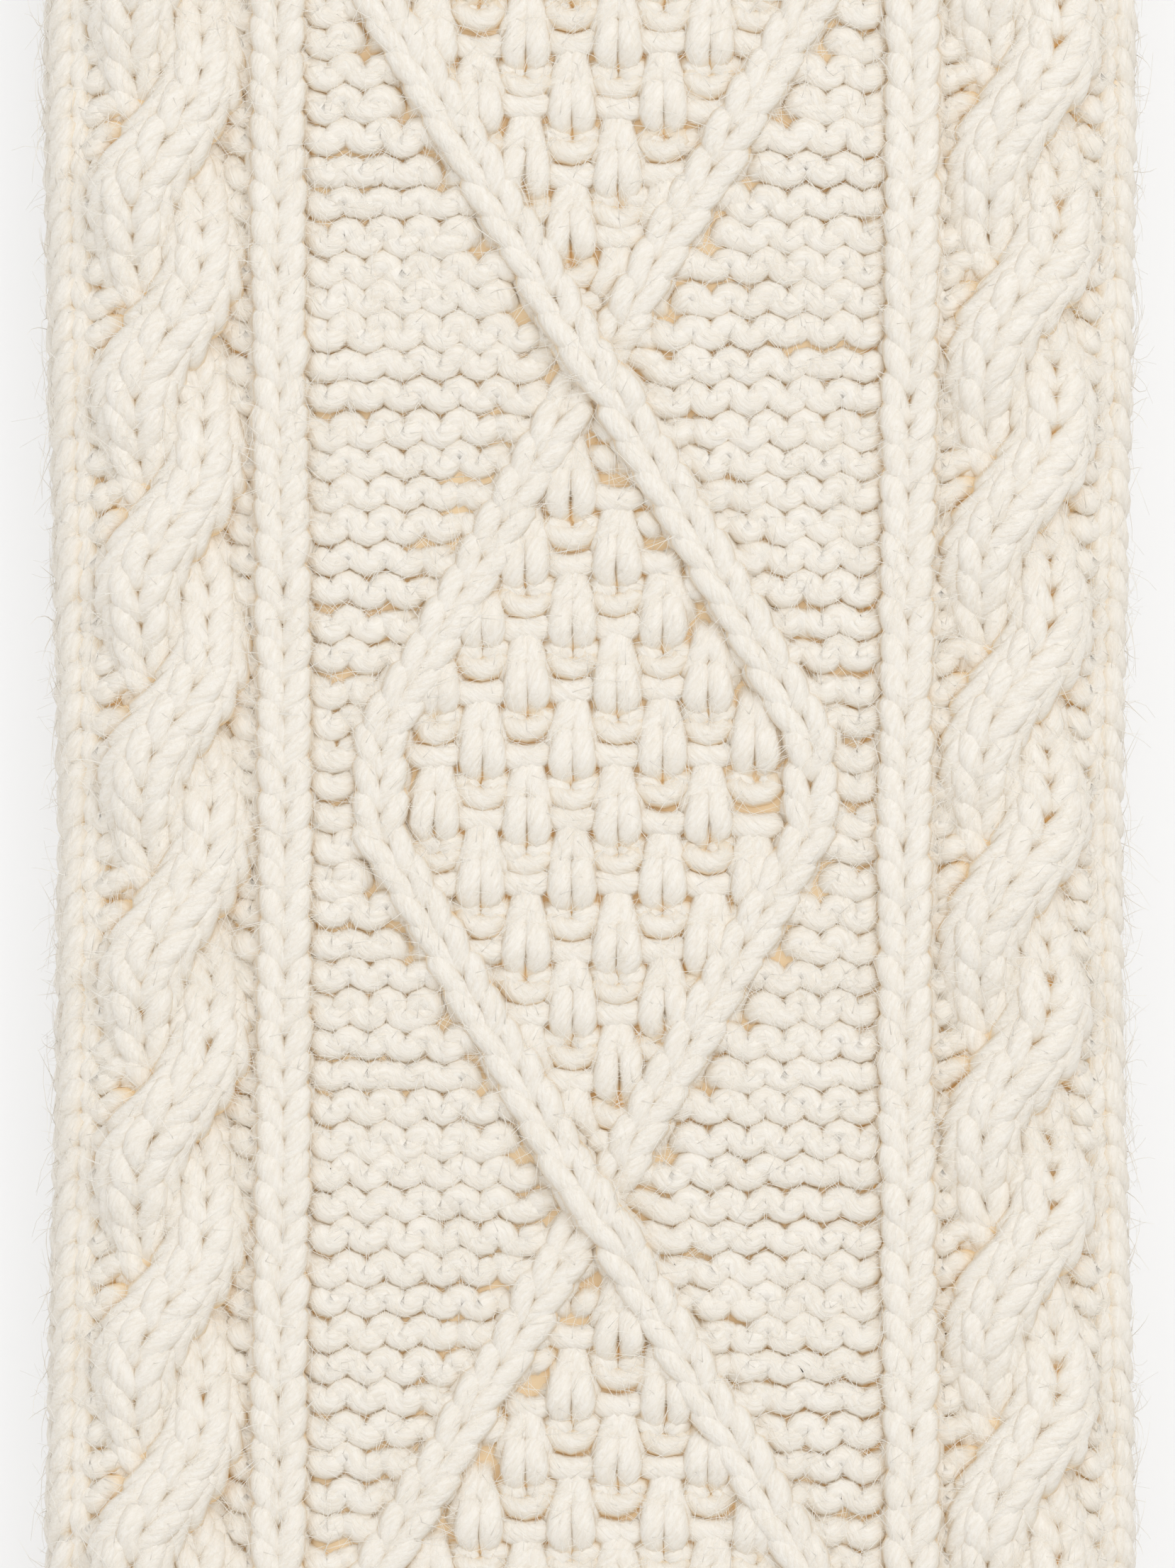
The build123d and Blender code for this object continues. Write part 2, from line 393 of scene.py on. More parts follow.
LATTICE_WIDTH = 2 * (GROUND_SIDE * GROUND + 2 * STRAND)
ROPE_WIDTH = 5.4 * MM
FOLD_ROPE_WIDTH = 8.4 * MM
CABLE_WIDTH = 13.2 * MM
VALLEY_WIDTH = 0.8 * MM
FIRST_BAND = -54.6 * MM  # round the glove from the middle of its back
LEFT_CABLE_FIRST, RIGHT_CABLE_FIRST = 4, 5  # a course where each cable starts a crossing


def rope(middle, width):
    return knit_pair(middle, width, ROPE_RISE)


def fold_rope(middle, width):
    return knit_pair(middle, width, FOLD_ROPE_RISE, FOLD_ROPE_FAT, FOLD_ROPE_ROLL)


def back_course(course):
    """The stitches of one course across the cabled back, left to right, and where it ends."""
    bands = [
        (FOLD_ROPE_WIDTH, fold_rope),
        (VALLEY_WIDTH, valley),
        (CABLE_WIDTH, lambda at, wide: cable_band(at, wide, course, LEFT_CABLE_FIRST)),
        (VALLEY_WIDTH, valley),
        (ROPE_WIDTH, rope),
        (LATTICE_WIDTH, lambda at, wide: lattice_band(at, course)),
        (ROPE_WIDTH, rope),
        (VALLEY_WIDTH, valley),
        (CABLE_WIDTH, lambda at, wide: cable_band(at, wide, course, RIGHT_CABLE_FIRST)),
        (VALLEY_WIDTH, valley),
        (FOLD_ROPE_WIDTH, fold_rope),
    ]
    at, stitches = FIRST_BAND, []
    for width, make in bands:
        stitches += make(at + width / 2, width)
        at += width
    return stitches, at


def palm_course(start):
    """Plain knit columns from the back's right end round to its left end."""
    room = FIRST_BAND + AROUND - start
    count = round(room / PALM_STITCH)
    half = room / count / 2
    return [Stitch(start + (2 * i + 1) * half, half, half, KNIT) for i in range(count)]


def rib_course(repeats, start, total):
    """Two knit columns and two purl columns by turns, once round a tube."""
    width = total / repeats
    knit, purl = width * RIB_KNIT, width * RIB_PURL
    stitches = []
    for i in range(repeats):
        at = start + i * width
        stitches += knit_pair(at + knit / 2, knit, RIB_RISE)
        stitches += purl_band(at + knit + purl / 2, purl, 2, RIB_DROP)
    return stitches


# ------------------------------------------------------------------ from the chart to the glove

def wave(at, seed, length, count=4):
    """A smooth random wave of about unit height: a few sines with seeded phases."""
    rng = np.random.default_rng(seed)
    total = np.zeros(np.shape(at))
    for _ in range(count):
        total += np.sin(2 * pi * at / length * rng.uniform(*WAVE_RATES) + rng.uniform(0, 2 * pi))
    return total / count ** 0.5


WAIST = 1.2 * MM  # taken off each side
WAIST_RUN = 1.6  # the waist takes up the panel's length over this, from its arm end
CUFF_BLEND = 8 * MM  # each side of where a rib begins


def half_flat(y):
    """Half the flat part's width along the glove: a slight waist, and narrower ribs."""
    run = (y - PANEL_START) / (PANEL_END - PANEL_START)
    hand = MID_FLAT - WAIST * np.sin(pi * np.clip(run * WAIST_RUN, 0, 1)) ** 2
    cuff = MID_FLAT - (HAND_WIDTH - CUFF_WIDTH) / 2
    into = smoothstep((y - PANEL_START + CUFF_BLEND) / (2 * CUFF_BLEND))
    out = smoothstep((PANEL_END + CUFF_BLEND - y) / (2 * CUFF_BLEND))
    return cuff + (hand - cuff) * into * out


def on_glove(around, y, height):
    """Where a point of the knitting lies, and the wall's outward direction there.

    around is the distance round the wall's middle from the back's centre line."""
    flat = half_flat(y)
    scale = (4 * flat + 2 * pi * MID_RADIUS) / AROUND
    run = ((around + AROUND / 2) % AROUND - AROUND / 2) * scale
    side = np.sign(run)
    run = np.abs(run)
    turn = np.clip((run - flat) / MID_RADIUS, 0, pi)
    beyond = np.maximum(run - flat - pi * MID_RADIUS, 0)
    x = np.minimum(run, flat) - beyond + MID_RADIUS * np.sin(turn)
    z = FOLD_HEIGHT / 2 + MID_RADIUS * np.cos(turn)
    out_x, out_z = np.sin(turn), np.cos(turn)
    place = np.stack((side * (x + out_x * height), y, z + out_z * height), axis=-1)
    outward = np.stack((side * out_x, np.zeros_like(x), out_z), axis=-1)
    return place, outward


def side_of_hand(x, z):
    """How far a point stands outside the folded hand's side, near its fold."""
    radius = FOLD_HEIGHT / 2
    rise = np.clip((z - radius) / radius, -1, 1)
    return np.abs(x) - (HAND_WIDTH / 2 - radius) - radius * np.sqrt(1 - rise ** 2)


def thumb_place(t):
    """The point of the thumb's axis at a distance from its root, from the glove's centre line."""
    return THUMB_ROOT + THUMB_AXIS * np.asarray(t)[..., None]


def in_thumb_bore(place):
    """Whether points lie in the way through the fold to the thumb."""
    off = place - THUMB_ROOT
    along = off @ THUMB_AXIS
    across = off @ THUMB_ACROSS / (THUMB_HALF_WIDTH - THUMB_WALL)
    up = off[:, 2] / (THUMB_HALF_DEPTH - THUMB_WALL)
    return (along > 0) & (across ** 2 + up ** 2 < 1)


def on_thumb(around, t, height):
    """Where a point of the thumb's knitting lies, and the outward direction there.

    around is the distance round the tube, and t the distance from its root along its axis."""
    turn = np.interp(around % THUMB_AROUND, THUMB_RUNS, THUMB_TURNS)
    out_x, out_z = np.cos(turn) / THUMB_MID_WIDE, np.sin(turn) / THUMB_MID_HIGH
    size = np.hypot(out_x, out_z)
    out_x, out_z = out_x / size, out_z / size
    x = THUMB_MID_WIDE * np.cos(turn) + out_x * height
    z = THUMB_MID_HIGH * np.sin(turn) + out_z * height
    up = np.array((0, 0, 1))
    place = thumb_place(t) + x[:, None] * THUMB_ACROSS + z[:, None] * up
    outward = out_x[:, None] * THUMB_ACROSS + out_z[:, None] * up
    return place, outward


def course_y(level):
    """Distance along the glove of a course, which may be a fraction."""
    return GLOVE_START + (level + 0.5) * COURSE


def lay_course(stitches, rng, total):
    """A closed course's points in Stitch.points' order, total being the distance once round.

    Each point and each stitch moves a little at random, so that no two stitches are the same."""
    points = np.stack([stitch.points() for stitch in stitches])
    before = np.roll(np.stack([stitch.last_sinker() for stitch in stitches]), 1, axis=0)
    before[0, 0] -= total
    points[:, 0] = (points[:, 0] + before) / 2
    points += rng.normal(size=points.shape) * POINT_JITTER
    for column, size in enumerate(STITCH_JITTER):
        points[:, :, column] += rng.normal(size=(len(stitches), 1)) * size
    return np.vstack((points.reshape(-1, 5), points[:1, 0] + (total, 0, 0, 0, 0)))


def soften(path, steps):
    """A Catmull-Rom curve through a path's points, with steps pieces to each span."""
    padded = np.vstack((2 * path[0] - path[1], path, 2 * path[-1] - path[-2]))
    a, b, c, d = padded[:-3], padded[1:-2], padded[2:-1], padded[3:]
    t = (np.arange(steps) / steps)[None, :, None]
    a, b, c, d = [part[:, None, :] for part in (a, b, c, d)]
    curve = 2 * b + (c - a) * t + (2 * a - 5 * b + 4 * c - d) * t ** 2 + (3 * b - a - 3 * c + d) * t ** 3
    return np.vstack((curve.reshape(-1, path.shape[1]) / 2, path[-1:]))


TINY = 1e-9  # keeps a division from failing where a yarn runs straight out of the wall


class Yarns:
    """Gathers tubes of yarn into one mesh, with each point's place along and around its yarn."""

    def __init__(self, sides):
        self.sides = sides
        self.points, self.faces, self.fibres, self.depths = [], [], [], []
        self.count = 0

    def add(self, middle, outward, radius, front, start):
        """A tube along middle, flattened a little along outward, with closed ends.

        front is how far each point of middle stands in front of the knitting's own surface."""
        along = np.gradient(middle, axis=0)
        along /= np.linalg.norm(along, axis=1, keepdims=True)
        across = np.cross(along, outward)
        across /= np.maximum(np.linalg.norm(across, axis=1, keepdims=True), TINY)
        up = np.cross(across, along)
        run = start + np.concatenate(([0], np.cumsum(np.linalg.norm(np.diff(middle, axis=0), axis=1))))
        angle = 2 * pi * np.arange(self.sides) / self.sides
        wide, high = np.cos(angle)[None, :, None], YARN_HEIGHT * np.sin(angle)[None, :, None]
        out = wide * across[:, None] + high * up[:, None]
        ring = middle[:, None] + radius[:, None, None] * out
        rings = len(middle)
        twist = run[:, None] / TWIST * 2 * pi + angle[None]
        fibre = np.stack((np.broadcast_to(run[:, None], twist.shape), np.cos(twist), np.sin(twist)), axis=-1)
        index = self.count + np.arange(rings * self.sides).reshape(rings, self.sides)
        right = np.roll(index, -1, axis=1)
        quads = np.stack((index[:-1], right[:-1], right[1:], index[1:]), axis=-1).reshape(-1, 4)
        self.faces += [quads, index[0][::-1][None], index[-1][None]]
        self.points.append(ring.reshape(-1, 3))
        self.fibres.append(fibre.reshape(-1, 3))
        # how far each point stands out of the wall, from 0 at the back of the loops to 1 at the front; the
        # wool's painted shade and painted glow follow it
        face = (front[:, None] + radius[:, None] * np.sin(angle)) / (DEPTH + YARN)
        self.depths.append(0.5 + 0.5 * face.ravel())
        self.count += rings * self.sides
        return run[-1]

    def build(self, name, material):
        mesh = bpy.data.meshes.new(name)
        points = np.concatenate(self.points)
        sizes = np.concatenate([np.full(len(f), f.shape[1]) for f in self.faces])
        corners = np.concatenate([f.ravel() for f in self.faces])
        starts = np.concatenate(([0], np.cumsum(sizes)[:-1]))
        mesh.vertices.add(len(points))
        mesh.vertices.foreach_set("co", points.ravel())
        mesh.loops.add(len(corners))
        mesh.loops.foreach_set("vertex_index", corners.astype(np.int32))
        mesh.polygons.add(len(sizes))
        mesh.polygons.foreach_set("loop_start", starts.astype(np.int32))
        fibre = mesh.attributes.new("fibre", "FLOAT_VECTOR", "POINT")
        fibre.data.foreach_set("vector", np.concatenate(self.fibres).ravel())
        depth = mesh.attributes.new("depth", "FLOAT", "POINT")
        depth.data.foreach_set("value", np.concatenate(self.depths))
        mesh.update(calc_edges=True)
        mesh.shade_smooth()
        mesh.materials.append(material)
        piece = bpy.data.objects.new(name, mesh)
        bpy.context.scene.collection.objects.link(piece)
        return piece


def stretches(keep):
    """The first and last index of each unbroken stretch of kept points."""
    flags = np.concatenate(([False], keep, [False])).astype(int)
    return zip(np.flatnonzero(np.diff(flags) == 1), np.flatnonzero(np.diff(flags) == -1))


# Metres of yarn from where one length's fibre pattern starts to where the next one's does
HAND_YARN, THUMB_YARN, LINK_YARN, PLY_YARN = 7.3, 5.1, 3.7, 3.0

LINK_PITCH, LINK_WIDTH = 3.3 * MM, 1.9 * MM
LINK_FAT = 0.92
SEAM_POINTS = 420
PLY_OFFSET, PLY_RADIUS = 0.48, 0.5  # of the seam yarn's radius


class Glove:
    """One glove: which body it is, where it stands, which way round, and how finely it is drawn."""

    def __init__(self, side, middle_x, mirrored, steps, sides, fuzz):
        self.side, self.middle_x, self.mirrored = side, middle_x, mirrored
        self.steps, self.sides, self.fuzz = steps, sides, fuzz

    def lay(self, yarns, place, outward, radius, front, start):
        """Adds a yarn given in the glove's own space, from its centre line."""
        flip = (self.mirrored, 1, 1)
        yarns.add(place * flip + (self.middle_x, 0, 0), outward * flip, radius, front, start)

    def lay_kept(self, keep, yarns, place, outward, fat, forward, start):
        """Adds the unbroken stretches of a course for which keep is true."""
        for first, last in stretches(keep):
            part = slice(first, last)
            if last - first > SHORTEST:
                self.lay(yarns, place[part], outward[part], YARN * fat[part], DEPTH * forward[part], start)

    def finish(self, piece, node_name, slot):
        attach(piece, f"{self.side}_glove")
        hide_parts(f"{self.side}_{node_name}")

    def knit(self, yarns, courses, stitches_at, seed, part=None, steps=None):
        """Adds courses round the hand. part picks the stitches of each course to keep."""
        rng = np.random.default_rng(seed)
        steps = steps or self.steps
        for course in courses:
            stitches = stitches_at(course)
            first, last = part(len(stitches)) if part else (0, len(stitches))
            path = soften(lay_course(stitches, rng, AROUND), steps)
            path = path[first * len(UP) * steps:last * len(UP) * steps + 1]
            around, level, height, fat, forward = path.T
            y = course_y(course + level) + WAVE_HEIGHT * wave(around, seed + course, COURSE_WAVE)
            place, outward = on_glove(around, y, height)
            place[:, 2] += WAVE_HEIGHT * wave(y + around, seed, LEVEL_WAVE) * (outward[:, 2] > 0)
            self.lay_kept(~in_thumb_bore(place), yarns, place, outward, fat, forward, course * HAND_YARN)

    def knit_thumb(self, yarns, seed):
        """Adds the ribbed courses of the thumb, as far as they stand outside the hand."""
        rng = np.random.default_rng(seed)
        count = int(THUMB_LENGTH / COURSE)
        for course in range(THUMB_FIRST, count):
            stitches = rib_course(THUMB_REPEATS, 0, THUMB_AROUND)
            path = soften(lay_course(stitches, rng, THUMB_AROUND), self.steps)
            around, level, height, fat, forward = path.T
            t = THUMB_LENGTH - (count + 0.5 - course - level) * COURSE
            place, outward = on_thumb(around, t, height)
            outside = side_of_hand(place[:, 0], place[:, 2]) > -YARN
            self.lay_kept(outside, yarns, place, outward, fat, forward, course * THUMB_YARN)

    def chain(self, yarns, surface, level, total, way):
        """Adds an edge of interlocked links that lie along the rim, at a level along the surface."""
        count = round(total / LINK_PITCH)
        pitch = total / count
        link = np.array(HALF_LOOP[1:])
        across = np.concatenate((link[:, 0], -link[-2::-1, 0])) * LINK_WIDTH
        along = np.concatenate((link[:, 1], link[-2::-1, 1])) * pitch
        forward = KNIT[2][1:len(HALF_LOOP)]
        forward = np.concatenate((forward, forward[-2::-1]))
        for i in range(count):
            path = np.stack((i * pitch + way * along, level + across, DEPTH * forward), axis=1)
            around, y, height = soften(path, self.steps).T
            place, outward = surface(around, y, height)
            self.lay(yarns, place, outward, np.full(len(place), LINK_FAT * YARN), height, i * LINK_YARN)

    def seam(self, yarns):
        """Adds the linking yarn: two plies that twist slowly inside the little-finger fold."""
        low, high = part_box("left_side_seam")
        middle = (np.array(low) + np.array(high)) / 2 - (LEFT_X, 0, 0)
        radius = (high[0] - low[0]) / 2
        y = np.linspace(low[1] + radius, high[1] - radius, SEAM_POINTS)
        for ply in (0, 1):
            turn = y / SEAM_PITCH * 2 * pi + ply * pi
            out = np.stack((np.cos(turn), np.zeros_like(y), np.sin(turn)), axis=1)
            place = np.stack((np.full_like(y, middle[0]), y, np.full_like(y, middle[2])), axis=1)
            place += out * radius * PLY_OFFSET
            thick = np.full(len(y), radius * PLY_RADIUS)
            self.lay(yarns, place, out, thick, np.full(len(y), DEPTH), ply * PLY_YARN)


def from_fold(points, middle_x):
    """The outward direction of a glove's wall at points near it."""
    x = points[:, 0] - middle_x
    x = x - np.clip(x, -MID_FLAT, MID_FLAT)
    out = np.stack((x, np.zeros_like(x), points[:, 2] - FOLD_HEIGHT / 2), axis=1)
    return out / np.linalg.norm(out, axis=1, keepdims=True)


def fuzz(yarns, count, seed, middle_x):
    """Loose fibres that lie over a glove's yarns and stand off them a little, as thin tapering tubes."""
    rng = np.random.default_rng(seed)
    points, depths = np.concatenate(yarns.points), np.concatenate(yarns.depths)
    root = points[rng.choice(np.flatnonzero(depths > FUZZ_DEPTH), count)]
    outward = from_fold(root, middle_x)
    lie = np.cross(outward, rng.normal(size=(count, 3)))
    lie /= np.linalg.norm(lie, axis=1, keepdims=True)
    bend = np.cross(outward, lie) * rng.normal(scale=FUZZ_BEND, size=(count, 1))
    rise = outward * rng.uniform(*FUZZ_RISE, (count, 1))
    size = FUZZ_LENGTH * rng.uniform(*FUZZ_LENGTHS, (count, 1, 1))
    t = np.linspace(0, 1, FUZZ_RINGS)[None, :, None]
    curve = lie[:, None] * t + bend[:, None] * t ** 2 + rise[:, None] * (FUZZ_CURL * t - t ** 2)
    middle = root[:, None] + size * curve
    middle[:, :, 2] = np.maximum(middle[:, :, 2], FUZZ_FLOOR)
    along = np.gradient(middle, axis=1)
    across = np.cross(along, outward[:, None])
    up = np.cross(across, along)
    across, up = [part / np.linalg.norm(part, axis=2, keepdims=True) for part in (across, up)]
    radius = FUZZ_RADIUS * (1 - FUZZ_TAPER * t)
    turns = (0, 2 * pi / 3, 4 * pi / 3)
    corners = [middle + radius * (cos(turn) * across + sin(turn) * up) for turn in turns]
    index = np.arange(count * FUZZ_RINGS * 3).reshape(count, FUZZ_RINGS, 3)
    right = np.roll(index, -1, axis=2)
    sides = np.stack((index[:, :-1], right[:, :-1], right[:, 1:], index[:, 1:]), axis=-1)
    fibres = Yarns(3)
    fibres.points.append(np.stack(corners, axis=2).reshape(-1, 3))
    fibres.faces += [sides.reshape(-1, 4), index[:, 0, ::-1], index[:, -1]]
    fibres.fibres.append(np.zeros((index.size, 3)))
    fibres.depths.append(np.ones(index.size))
    return fibres


def lining(name, start, end, glove, arcs, ground, material):
    """The felted fibres behind the loops: a thin closed sheet inside the wall. Its material paints it the
    tan of the shaded gaps.

    arcs is the stretch round the glove that it covers, and ground is 1 for the lattice's raised felt."""
    rows, columns = LINING_ROWS, LINING_COLUMNS
    faces, points = [], []
    around = np.linspace(*arcs, columns + 1)
    middle = (around + AROUND / 2) % AROUND - AROUND / 2
    raised = smoothstep((LATTICE_WIDTH / 2 - np.abs(middle)) / MM) * ground
    face = FELT_BACK + raised * (FELT_GROUND - FELT_BACK)
    for layer in (face, face - LINING_THICK):
        for y in np.linspace(start, end, rows + 1):
            place, _ = on_glove(around, np.full(columns + 1, y), layer)
            place[:, 0] = glove.middle_x + glove.mirrored * place[:, 0]
            points += place.tolist()
    layer_size = (rows + 1) * (columns + 1)
    for row in range(rows):
        for column in range(columns):
            a = row * (columns + 1) + column
            b = a + columns + 1
            faces.append((a, a + 1, b + 1, b))
            faces.append((a + layer_size, b + layer_size, b + 1 + layer_size, a + 1 + layer_size))
    rim = list(range(columns + 1))
    rim += [row * (columns + 1) + columns for row in range(1, rows + 1)]
    rim += [rows * (columns + 1) + column for column in reversed(range(columns))]
    rim += [row * (columns + 1) for row in reversed(range(1, rows))]
    for a, b in zip(rim, rim[1:] + rim[:1]):
        faces.append((b, a, a + layer_size, b + layer_size))
    if glove.mirrored > 0:
        faces = [face[::-1] for face in faces]
    mesh = bpy.data.meshes.new(name)
    mesh.from_pydata(points, [], faces)
    mesh.shade_smooth()
    mesh.materials.append(material)
    piece = bpy.data.objects.new(name, mesh)
    bpy.context.scene.collection.objects.link(piece)
    return piece


# ------------------------------------------------------------------ materials

def node(tree, kind, **settings):
    made = tree.nodes.new(kind)
    for name, value in settings.items():
        setattr(made, name, value)
    return made


def ramp(tree, value, *stops):
    """A colour ramp over a value, from its stops' positions and colours."""
    made = node(tree, "ShaderNodeValToRGB")
    tree.links.new(value, made.inputs["Fac"])
    elements = made.color_ramp.elements
    for element, (position, color) in zip(elements, (stops[0], stops[-1])):
        element.position = position
        element.color = (*color, 1)
    for position, color in stops[1:-1]:
        elements.new(position).color = (*color, 1)
    return made.outputs["Color"]


def wool(name, light, shade_tone):
    """Lofty wool: streaks of fibre along the yarn, soft mottling, painted shade that turns the yarn darker
    and warmer in the gaps, and a painted glow there.
    """
    material = bpy.data.materials.new(name)
    material.use_nodes = True
    tree = material.node_tree
    shader = tree.nodes["Principled BSDF"]
    link = tree.links.new
    fibre = node(tree, "ShaderNodeAttribute", attribute_name="fibre")
    stretch = node(tree, "ShaderNodeVectorMath", operation="MULTIPLY")
    stretch.inputs[1].default_value = (220.0, 1.6, 1.6)
    link(fibre.outputs["Vector"], stretch.inputs[0])
    streaks = node(tree, "ShaderNodeTexNoise")
    streaks.inputs["Scale"].default_value = 2.2
    streaks.inputs["Detail"].default_value = 5.0
    streaks.inputs["Roughness"].default_value = 0.62
    link(stretch.outputs[0], streaks.inputs["Vector"])
    place = node(tree, "ShaderNodeTexCoord")
    mottle = node(tree, "ShaderNodeTexNoise")
    mottle.inputs["Scale"].default_value = 420.0
    mottle.inputs["Detail"].default_value = 3.0
    link(place.outputs["Object"], mottle.inputs["Vector"])

    depth = node(tree, "ShaderNodeAttribute", attribute_name="depth")
    # painted shade: the yarn turns from its own cream to a darker, warmer tan the further back it lies in
    # the gaps
    tone = ramp(tree, depth.outputs["Fac"], (0.56, shade_tone), (0.89, light))
    streak_tone = ramp(tree, streaks.outputs["Fac"], (0.34, STREAK), (0.62, WHITE))
    shade = node(tree, "ShaderNodeMix", data_type="RGBA", blend_type="MULTIPLY")
    shade.inputs["Factor"].default_value = 1.0
    link(tone, shade.inputs["A"])
    link(streak_tone, shade.inputs["B"])
    link(shade.outputs["Result"], shader.inputs["Base Color"])

    glow = (0.1, PAINTED_INNER_GLOW), (0.3, PAINTED_GLOW), (0.5, PAINTED_GLOW), (0.81, BLACK)  # painted light: an emission glow in the gaps, standing in for the light that comes through the wool
    link(ramp(tree, depth.outputs["Fac"], *glow), shader.inputs["Emission Color"])
    shader.inputs["Emission Strength"].default_value = 1.0

    mix = node(tree, "ShaderNodeMath", operation="MULTIPLY_ADD")
    mix.inputs[1].default_value = 0.35
    link(mottle.outputs["Fac"], mix.inputs[0])
    link(streaks.outputs["Fac"], mix.inputs[2])
    bump = node(tree, "ShaderNodeBump")
    bump.inputs["Strength"].default_value = 0.6
    bump.inputs["Distance"].default_value = 0.4 * MM
    link(mix.outputs[0], bump.inputs["Height"])
    link(bump.outputs["Normal"], shader.inputs["Normal"])
    shader.inputs["Roughness"].default_value = 0.95
    shader.inputs["Specular IOR Level"].default_value = 0.15
    shader.inputs["Sheen Weight"].default_value = 0.1
    shader.inputs["Sheen Roughness"].default_value = 0.6
    return material


WHITE, BLACK = (1, 1, 1), (0, 0, 0)
STREAK = (0.93, 0.905, 0.865)
CREAM = (0.945, 0.90, 0.825)
# painted shade: the darker, warmer colour given to the yarn where it lies back in the gaps
SHADE_TAN = (0.79, 0.655, 0.465)
# painted light: the emission that lights the gaps, and a fainter one for the felt and the glove's inside
PAINTED_GLOW = (0.215, 0.137, 0.056)
PAINTED_INNER_GLOW = (0.05, 0.03, 0.012)
# painted shade: the felt behind the loops takes the tan of the shaded gaps, not the wool's cream; having no
# depth attribute, it also takes the fainter painted glow
FELT_SHADE_TONE = (0.80, 0.65, 0.45)
FIBRE_TONE = (0.97, 0.94, 0.88)
WOOL = wool("cream_wool", CREAM, SHADE_TAN)
RIB_WOOL = wool("rib_wool", CREAM, SHADE_TAN)
EDGE_WOOL = wool("edge_wool", CREAM, SHADE_TAN)
SEAM_WOOL = wool("seam_wool", CREAM, SHADE_TAN)
SHADED_FELT = wool("felt_painted_shade", FELT_SHADE_TONE, FELT_SHADE_TONE)
FIBRE = wool("loose_fibre", FIBRE_TONE, FIBRE_TONE)

# ------------------------------------------------------------------ the gloves

RIB_REPEATS = 19
THUMB_REPEATS = 6
SEAM_PITCH = 5.0 * MM
LINK_LEVEL = 1.6 * MM  # an edge chain's middle, from the glove's end
THUMB_GAP = 5 * MM  # the felt stops this far each side of the thumb's fold
BACK_COUNT = len(back_course(0)[0])  # a course with two fewer takes in two of the palm's
BACK_SEED, PALM_SEED, RIB_SEED, THUMB_SEED, FUZZ_SEED = 10, 30, 40, 60, 70


def hand_course(course):
    back, end = back_course(course)
    return back + palm_course(end)


def ribbed_course(course):
    """Every course of a rib is the same."""
    return rib_course(RIB_REPEATS, FIRST_BAND, AROUND)


def split(first, last, count):
    """A stretch of courses as count ranges of nearly the same length."""
    edges = np.linspace(first, last, count + 1).round().astype(int)
    return [range(start, end) for start, end in zip(edges, edges[1:])]


def back_panel(glove, pieces):
    for number, courses in enumerate(split(RIB_COURSES, PANEL_COURSES, pieces), 1):
        yarns = Yarns(glove.sides)
        glove.knit(yarns, courses, hand_course, BACK_SEED + number, lambda n: (0, BACK_COUNT))
        glove.finish(yarns.build(f"{glove.side}_back_{number}", WOOL), "back_panel", "wool_knit")
        loose = fuzz(yarns, glove.fuzz // pieces, FUZZ_SEED + number, glove.middle_x)
        fibres = loose.build(f"{glove.side}_back_fuzz_{number}", FIBRE)
        fibres.visible_shadow = False  # single fibres let the light through
        glove.finish(fibres, "back_panel", "wool_knit")


def palm_panel(glove):
    for number, courses in enumerate(split(RIB_COURSES, PANEL_COURSES, 2), 1):
        yarns = Yarns(COARSE_SIDES)
        glove.knit(yarns, courses, hand_course, PALM_SEED + number, lambda n: (BACK_COUNT, n), 1)
        glove.finish(yarns.build(f"{glove.side}_palm_{number}", WOOL), "palm_panel", "wool_knit")


def ribs(glove):
    for name, first, last in (("wrist_rib", 1, RIB_COURSES), ("knuckle_rib", PANEL_COURSES, COURSES - 1)):
        yarns = Yarns(COARSE_SIDES)
        glove.knit(yarns, range(first, last), ribbed_course, RIB_SEED + first, None, 1)
        glove.finish(yarns.build(f"{glove.side}_{name}_knit", RIB_WOOL), name, "wool_rib")
    yarns = Yarns(COARSE_SIDES)
    glove.knit_thumb(yarns, THUMB_SEED)
    glove.finish(yarns.build(f"{glove.side}_thumb_rib_knit", RIB_WOOL), "thumb_rib", "wool_rib")


def edges(glove):
    rims = (
        ("bind_off_edge", on_glove, GLOVE_START + LINK_LEVEL, AROUND, 1),
        ("cast_on_edge", on_glove, GLOVE_END - LINK_LEVEL, AROUND, -1),
        ("thumb_edge", on_thumb, THUMB_LENGTH - LINK_LEVEL, THUMB_AROUND, -1),
    )
    for name, surface, level, total, way in rims:
        yarns = Yarns(COARSE_SIDES)
        glove.chain(yarns, surface, level, total, way)
        glove.finish(yarns.build(f"{glove.side}_{name}_chain", EDGE_WOOL), name, "wool_edge")


def side_seam(glove):
    yarns = Yarns(COARSE_SIDES)
    glove.seam(yarns)
    glove.finish(yarns.build(f"{glove.side}_side_seam_yarn", SEAM_WOOL), "side_seam", "seam_yarn")


def linings(glove):
    """The felt behind each part of the knitting, leaving the way to the thumb open."""
    thumb_low, thumb_high = FOLD_LINE - THUMB_GAP, FOLD_LINE + THUMB_GAP
    parts = (
        ("back_panel", "wool_knit", PANEL_START, PANEL_END, (-FOLD_LINE, thumb_low)),
        ("palm_panel", "wool_knit", PANEL_START, PANEL_END, (thumb_high, AROUND - FOLD_LINE)),
        ("wrist_rib", "wool_rib", GLOVE_START + EDGE_LENGTH, PANEL_START, (0, AROUND)),
        ("knuckle_rib", "wool_rib", PANEL_END, GLOVE_END - EDGE_LENGTH, (0, AROUND)),
    )
    for name, slot, start, end, arcs in parts:
        felt = lining(f"{glove.side}_{name}_felt", start, end, glove, arcs, name == "back_panel", SHADED_FELT)
        glove.finish(felt, name, slot)


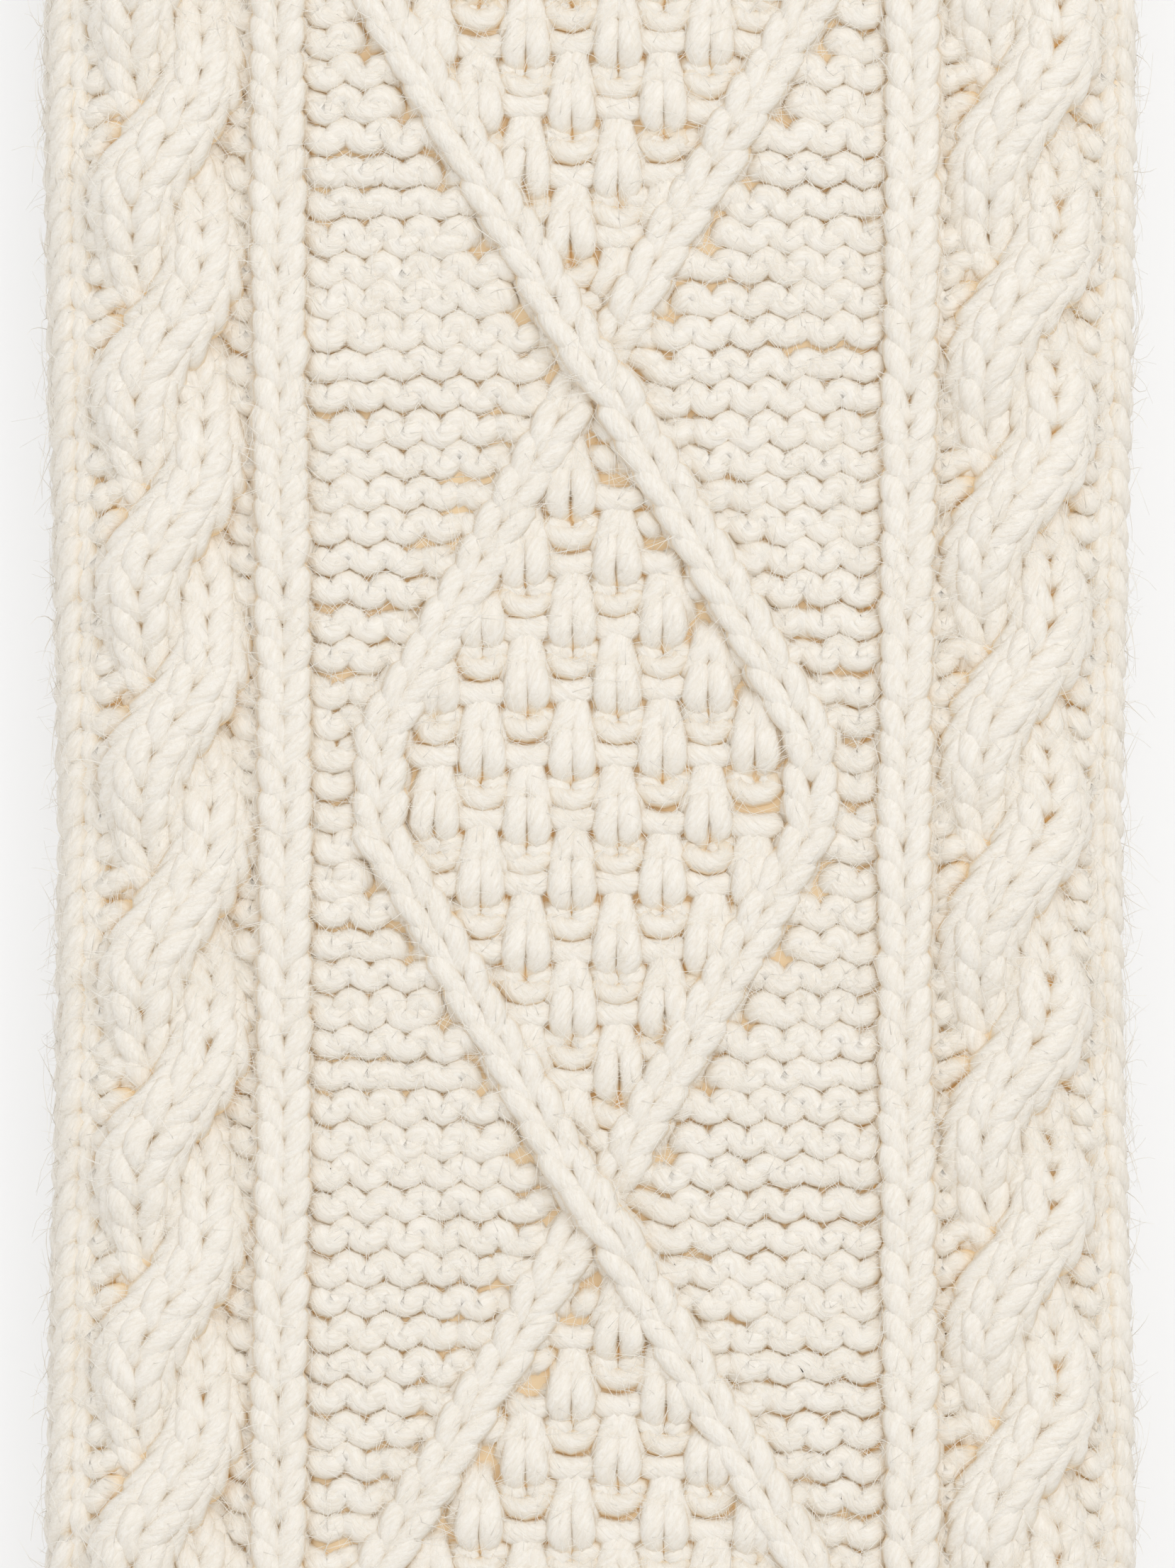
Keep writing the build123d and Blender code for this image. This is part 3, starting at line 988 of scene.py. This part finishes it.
def dress(glove, back_pieces):
    back_panel(glove, back_pieces)
    palm_panel(glove)
    ribs(glove)
    edges(glove)
    side_seam(glove)
    linings(glove)


COARSE_SIDES = 6
FOLD_LINE = MID_FLAT + pi * MID_RADIUS / 2  # the fold's outermost line, round from the back's middle
LEFT_STEPS, LEFT_SIDES = ((2, 8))
dress(Glove("left", LEFT_X, 1, LEFT_STEPS, LEFT_SIDES, fuzz=40000), back_pieces=6)
dress(Glove("right", -LEFT_X, -1, 1, COARSE_SIDES, fuzz=6000), back_pieces=3)

# ------------------------------------------------------------------ stage, light and camera

VIEW_HEIGHT = 143.6 * MM  # of the glove's length that the close view takes in
VIEW_COURSE = 41  # at the middle of the view
VIEW_SHIFT = 0.3 * MM  # of the view to the left of the glove's centre line
CAMERA_DISTANCE = 1.3
SENSOR = 36.0
FLOOR_SIZE = 12.0
FLOOR_DROP = 0.5 * MM  # the lowest loops reach a little below the frame's zero


def floor():
    mesh = bpy.data.meshes.new("floor")
    size = FLOOR_SIZE
    corners = [(-size, -size, 0), (size, -size, 0), (size, size, 0), (-size, size, 0)]
    mesh.from_pydata(corners, [], [(0, 1, 2, 3)])
    material = bpy.data.materials.new("pale_floor")
    material.use_nodes = True
    shader = material.node_tree.nodes["Principled BSDF"]
    shader.inputs["Base Color"].default_value = (0.42, 0.42, 0.42, 1)
    shader.inputs["Roughness"].default_value = 1.0
    shader.inputs["Specular IOR Level"].default_value = 0.0
    shader.inputs["Emission Color"].default_value = (1, 1, 1, 1)
    shader.inputs["Emission Strength"].default_value = 0.52
    mesh.materials.append(material)
    plane = bpy.data.objects.new("floor", mesh)
    bpy.context.scene.collection.objects.link(plane)
    plane.location.z = -FLOOR_DROP


def lamp(name, place, target, size, power):
    light = bpy.data.lights.new(name, "AREA")
    light.size = size
    light.energy = power
    made = bpy.data.objects.new(name, light)
    made.location = place
    made.rotation_euler = (Vector(target) - Vector(place)).to_track_quat("-Z", "Y").to_euler()
    bpy.context.scene.collection.objects.link(made)


def world():
    sky = bpy.data.worlds.new("studio")
    sky.use_nodes = True
    sky.node_tree.nodes["Background"].inputs["Color"].default_value = (1, 1, 1, 1)
    sky.node_tree.nodes["Background"].inputs["Strength"].default_value = 0.68
    bpy.context.scene.world = sky


def camera():
    data = bpy.data.cameras.new("camera")
    data.sensor_width = SENSOR
    data.lens = SENSOR * CAMERA_DISTANCE / VIEW_HEIGHT
    data.clip_end = 100
    made = bpy.data.objects.new("camera", data)
    made.location = (LEFT_X - VIEW_SHIFT, course_y(VIEW_COURSE), FOLD_HEIGHT + CAMERA_DISTANCE)
    bpy.context.scene.collection.objects.link(made)
    bpy.context.scene.camera = made


floor()
lamp("key", (0.5, 0.7, 1.3), (0, 0, 0), 1.2, 10.0)
lamp("fill", (-0.8, -0.4, 1.2), (0, 0, 0), 1.5, 4.0)
world()
camera()
bpy.context.scene.view_settings.view_transform = "Standard"
